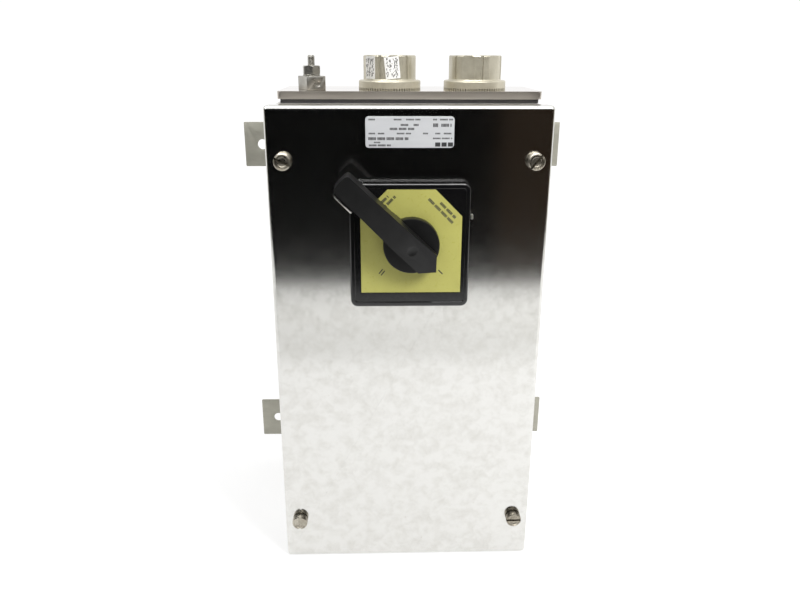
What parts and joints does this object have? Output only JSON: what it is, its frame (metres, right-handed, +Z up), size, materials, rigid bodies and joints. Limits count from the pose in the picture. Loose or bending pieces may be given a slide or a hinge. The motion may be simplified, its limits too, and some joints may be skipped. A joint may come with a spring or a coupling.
{
  "type": "two-position rotary transfer switch in wall enclosure",
  "caption": "Wall-mounted stainless enclosure with a two-position rotary transfer switch, padlockable black lever, yellow legend plate, conduit hubs and earth terminal on top.",
  "frame": {"origin": "centre of the four foot holes, on the wall plane", "axes": "+Z up the wall towards the conduit hubs, +Y into the wall, so the cover faces -Y; +X to the right as seen by a person facing the cover"},
  "size_m": [0.303, 0.2154, 0.424],
  "materials": {
    "stainless_sheet": "bright annealed stainless sheet, mirror-like with fine scuffs",
    "machined_steel": "satin stainless",
    "gland_steel": "brushed stainless plate",
    "hub_zinc": "satin zinc casting, warm grey",
    "zinc_plated_rail": "zinc plated",
    "gasket_rubber": "matt black",
    "black_plastic": "moulded, slight sheen",
    "grey_plastic": "moulded",
    "cream_plastic": "moulded",
    "beige_plastic": "moulded",
    "green_plastic": "moulded",
    "legend_yellow": "yellow lacquered plate",
    "label_aluminium": "satin label",
    "contact_brass": "bare brass"
  },
  "bodies": {
    "enclosure": {"enclosure_body": "stainless_sheet", "foot_upper_left": "stainless_sheet", "foot_upper_right": "stainless_sheet", "foot_lower_left": "stainless_sheet", "foot_lower_right": "stainless_sheet", "cover_bosses": "machined_steel", "gland_gasket": "gasket_rubber", "gland_plate": "gland_steel", "gland_plate_studs": "machined_steel", "gland_plate_nuts": "machined_steel", "hub_left": "hub_zinc", "hub_right": "hub_zinc", "hub_seals": "gasket_rubber", "hub_locknuts": "hub_zinc", "earth_stud": "machined_steel", "earth_block": "machined_steel", "earth_washer": "machined_steel", "earth_nut": "machined_steel", "earth_inner_nut": "machined_steel", "rail_standoffs": "machined_steel", "rail_screws": "machined_steel", "upper_rail": "zinc_plated_rail", "lower_rail": "zinc_plated_rail", "switch_base": "grey_plastic", "switch_deck_1": "grey_plastic", "switch_deck_2": "grey_plastic", "switch_deck_3": "grey_plastic", "switch_front_plate": "grey_plastic", "tie_screws": "machined_steel", "fixed_contacts": "contact_brass", "contact_screws": "machined_steel", "terminal_1": "beige_plastic", "terminal_2": "beige_plastic", "terminal_3": "beige_plastic", "terminal_4": "beige_plastic", "earth_terminal": "green_plastic", "terminal_screws": "machined_steel", "end_clamps": "grey_plastic"},
    "cover": {"cover_shell": "stainless_sheet", "cover_gasket": "gasket_rubber", "cover_screws": "machined_steel", "screw_retainers": "black_plastic", "nameplate": "label_aluminium", "switch_bezel": "black_plastic", "bezel_gasket": "gasket_rubber", "bezel_screws": "machined_steel", "bezel_lug": "machined_steel", "legend_plate": "legend_yellow", "shaft_bush": "black_plastic", "bush_nut": "machined_steel"},
    "handle": {"handle_lever": "black_plastic", "handle_shaft": "machined_steel"},
    "lock_clip_body": {"lock_clip": "machined_steel"},
    "rotor": {"cam_rotor": "cream_plastic"},
    "upper_contacts": {"upper_plungers": "cream_plastic", "upper_bridges": "contact_brass", "upper_springs": "machined_steel"},
    "lower_contacts": {"lower_plungers": "cream_plastic", "lower_bridges": "contact_brass", "lower_springs": "machined_steel"}
  },
  "joints": [
    {"name": "cover_lift", "type": "slide", "parent": "enclosure", "child": "cover", "axis": [0, -1, 0], "range_m": [0, 0.1]},
    {"name": "handle_turn", "type": "hinge", "parent": "cover", "child": "handle", "pos_m": [0.001, -0.17, 0.096], "axis": [0, 1, 0], "range_deg": [0, 90]},
    {"name": "rotor_turn", "type": "hinge", "parent": "enclosure", "child": "rotor", "pos_m": [0.001, -0.06, 0.096], "axis": [0, 1, 0], "range_deg": [0, 90]},
    {"name": "upper_contact_slide", "type": "slide", "parent": "enclosure", "child": "upper_contacts", "axis": [0, 0, 1], "range_m": [-0.00251, 0], "deforming": ["upper_springs"]},
    {"name": "lower_contact_slide", "type": "slide", "parent": "enclosure", "child": "lower_contacts", "axis": [0, 0, 1], "range_m": [-0.00251, 0], "deforming": ["lower_springs"]},
    {"name": "lock_clip_slide", "type": "slide", "parent": "handle", "child": "lock_clip_body", "axis": [-0.7071, 0, -0.7071], "range_m": [0, 0.009]}
  ],
  "couplings": [
    {"joint": "rotor_turn", "follows": "handle_turn", "ratio": 1},
    {"joint": "upper_contact_slide", "follows": "handle_turn", "m_per_rad": -0.0015915},
    {"joint": "lower_contact_slide", "follows": "handle_turn", "m_per_rad": -0.0015915}
  ]
}
